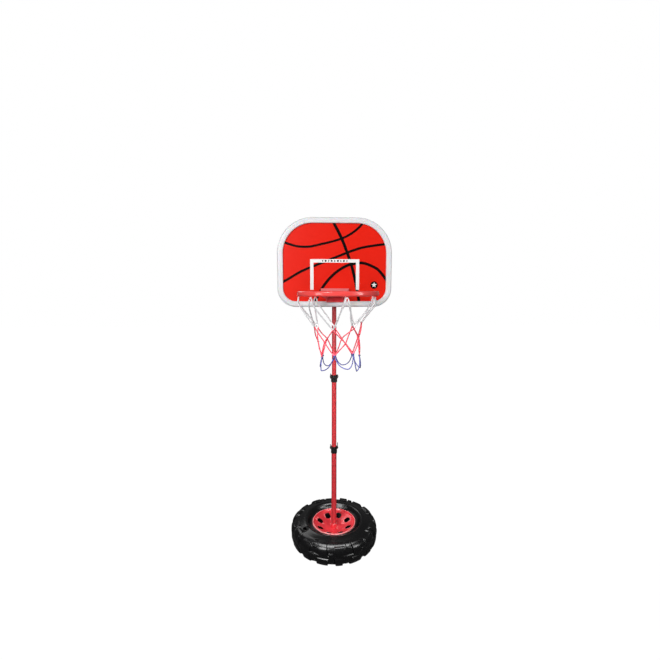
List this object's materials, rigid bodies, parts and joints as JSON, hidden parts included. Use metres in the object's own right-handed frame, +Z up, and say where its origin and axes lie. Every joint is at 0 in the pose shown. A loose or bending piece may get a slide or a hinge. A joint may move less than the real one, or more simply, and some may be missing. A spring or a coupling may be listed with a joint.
{
  "type": "portable basketball hoop",
  "caption": "Child's free-standing basketball hoop: tyre-shaped ballast base, telescopic pole with lock collars, red backboard, rim and cord net.",
  "frame": {"origin": "on the floor under the pole's axis, at the middle of the base's flat underside", "axes": "+Z up along the pole, -Y towards the player in front of the backboard, +X to that player's right"},
  "size_m": [0.34, 0.417, 1.023],
  "materials": {
    "tyre_plastic": "blow-moulded polyethylene, satin with soft glossy highlights",
    "red_plastic": "injection-moulded polypropylene, glossy",
    "rim_plastic": "injection-moulded polypropylene, high gloss",
    "black_plastic": "injection-moulded nylon, fine texture",
    "clear_plastic": "natural polyethylene, milky",
    "black_rubber": "soft gasket rubber",
    "zinc_steel": "zinc-plated steel",
    "red_enamel": "powder-coated steel tube, satin gloss",
    "red_panel": "printed high-impact sheet, satin gloss",
    "white_plastic": "moulded polyethylene, soft gloss",
    "black_ink": "screen-printed ink",
    "white_ink": "screen-printed ink",
    "white_cord": "braided nylon cord",
    "red_cord": "braided nylon cord",
    "blue_cord": "braided nylon cord"
  },
  "bodies": {
    "base": {"base_tyre": "tyre_plastic", "hub_plate": "red_plastic", "pole_screw": "zinc_steel", "lower_foot_plug": "black_plastic", "lower_tube": "red_enamel", "lower_collar": "black_plastic", "lower_grip_bush": "clear_plastic", "lower_lock_pins": "black_plastic"},
    "filler": {"filler_cap": "black_plastic", "filler_gasket": "black_rubber"},
    "lower_lever": {"lower_lock_lever": "black_plastic"},
    "middle_slider": {"middle_end_plug": "black_plastic"},
    "middle": {"middle_tube": "red_enamel", "upper_collar": "black_plastic", "upper_grip_bush": "clear_plastic", "upper_lock_pins": "black_plastic"},
    "upper_lever": {"upper_lock_lever": "black_plastic"},
    "upper_slider": {"upper_end_plug": "black_plastic"},
    "hoop": {"upper_tube": "red_enamel", "rear_bracket": "red_plastic", "bracket_bolts": "zinc_steel", "tube_screw": "zinc_steel", "backboard_panel": "red_panel", "backboard_frame": "white_plastic", "frame_clips": "white_plastic", "printed_seams": "black_ink", "target_outline": "white_ink", "panel_emblem": "black_ink", "rim_bracket": "red_plastic", "rim_ring": "rim_plastic", "rim_screws": "zinc_steel", "net_white": "white_cord", "net_red": "red_cord", "net_blue": "blue_cord"}
  },
  "joints": [
    {"name": "filler_lift", "type": "slide", "parent": "base", "child": "filler", "axis": [0, 0, 1], "range_m": [0, 0.03]},
    {"name": "lower_lever_flip", "type": "hinge", "parent": "base", "child": "lower_lever", "pos_m": [0, 0, 0.31], "axis": [1, 0, 0], "range_deg": [0, 60]},
    {"name": "lower_height", "type": "slide", "parent": "base", "child": "middle_slider", "axis": [0, 0, 1], "range_m": [-0.195, 0]},
    {"name": "middle_swivel", "type": "hinge", "parent": "middle_slider", "child": "middle", "pos_m": [0, 0, 0.3], "axis": [0, 0, 1], "continuous": true},
    {"name": "upper_lever_flip", "type": "hinge", "parent": "middle", "child": "upper_lever", "pos_m": [0, 0, 0.542], "axis": [1, 0, 0], "range_deg": [0, 60]},
    {"name": "upper_height", "type": "slide", "parent": "middle", "child": "upper_slider", "axis": [0, 0, 1], "range_m": [-0.195, 0]},
    {"name": "hoop_swivel", "type": "hinge", "parent": "upper_slider", "child": "hoop", "pos_m": [0, 0, 0.55], "axis": [0, 0, 1], "continuous": true}
  ]
}
